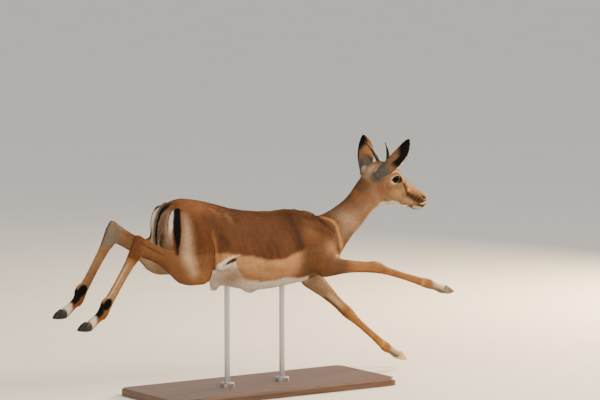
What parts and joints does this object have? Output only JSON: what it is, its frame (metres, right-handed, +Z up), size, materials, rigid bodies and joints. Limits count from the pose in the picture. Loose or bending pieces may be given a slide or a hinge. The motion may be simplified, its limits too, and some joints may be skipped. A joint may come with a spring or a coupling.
{
  "type": "impala",
  "caption": "Life-size impala, a young male caught in mid-leap with forelegs reaching and hind legs trailing, held over a flat base by rods.",
  "frame": {"origin": "centre of the underside of the stand's base, on the floor", "axes": "+X the way the animal faces, +Y its left side, +Z up"},
  "size_m": [1.4152, 0.34, 0.796],
  "materials": {
    "hind_pastern_right": "short tan coat",
    "trunk": "short smooth coat, red-brown saddle, tan flank, white belly",
    "hind_cannon_right": "short tan coat",
    "hind_shank_right": "short tan coat",
    "hind_pastern_left": "short tan coat",
    "hind_cannon_left": "short tan coat",
    "hind_shank_left": "short tan coat",
    "forearm_right": "short tan coat",
    "fore_cannon_right": "short tan coat",
    "neck": "short tan coat",
    "head": "short tan hair, pale ring round the eye, white chin and throat",
    "fore_pastern_right": "short tan coat",
    "forearm_left": "short tan coat",
    "fore_cannon_left": "short tan coat",
    "fore_pastern_left": "short tan coat",
    "tail": "white and brown hair with a black midline",
    "ear_left": "thin short hair, black tip, pale rim",
    "eye_left": "wet, glossy black-brown",
    "horn_left": "satin black horn",
    "hind_hoof_outer_left": "satin dark grey horn",
    "hind_hoof_inner_left": "satin dark grey horn",
    "fore_hoof_outer_left": "satin dark grey horn",
    "fore_hoof_inner_left": "satin dark grey horn",
    "ear_right": "thin short hair, black tip, pale rim",
    "eye_right": "wet, glossy black-brown",
    "horn_right": "satin black horn",
    "hind_hoof_outer_right": "satin dark grey horn",
    "hind_hoof_inner_right": "satin dark grey horn",
    "fore_hoof_outer_right": "satin dark grey horn",
    "fore_hoof_inner_right": "satin dark grey horn",
    "stand_base": "satin dark grey paint",
    "stand_rod_front": "brushed",
    "stand_rod_rear": "brushed"
  },
  "bodies": {
    "root": {"hind_pastern_right": "hind_pastern_right", "trunk": "trunk", "hind_cannon_right": "hind_cannon_right", "hind_shank_right": "hind_shank_right", "hind_pastern_left": "hind_pastern_left", "hind_cannon_left": "hind_cannon_left", "hind_shank_left": "hind_shank_left", "forearm_right": "forearm_right", "fore_cannon_right": "fore_cannon_right", "neck": "neck", "head": "head", "fore_pastern_right": "fore_pastern_right", "forearm_left": "forearm_left", "fore_cannon_left": "fore_cannon_left", "fore_pastern_left": "fore_pastern_left", "tail": "tail", "ear_left": "ear_left", "eye_left": "eye_left", "horn_left": "horn_left", "hind_hoof_outer_left": "hind_hoof_outer_left", "hind_hoof_inner_left": "hind_hoof_inner_left", "fore_hoof_outer_left": "fore_hoof_outer_left", "fore_hoof_inner_left": "fore_hoof_inner_left", "ear_right": "ear_right", "eye_right": "eye_right", "horn_right": "horn_right", "hind_hoof_outer_right": "hind_hoof_outer_right", "hind_hoof_inner_right": "hind_hoof_inner_right", "fore_hoof_outer_right": "fore_hoof_outer_right", "fore_hoof_inner_right": "fore_hoof_inner_right", "stand_base": "stand_base", "stand_rod_front": "stand_rod_front", "stand_rod_rear": "stand_rod_rear"}
  },
  "joints": []
}
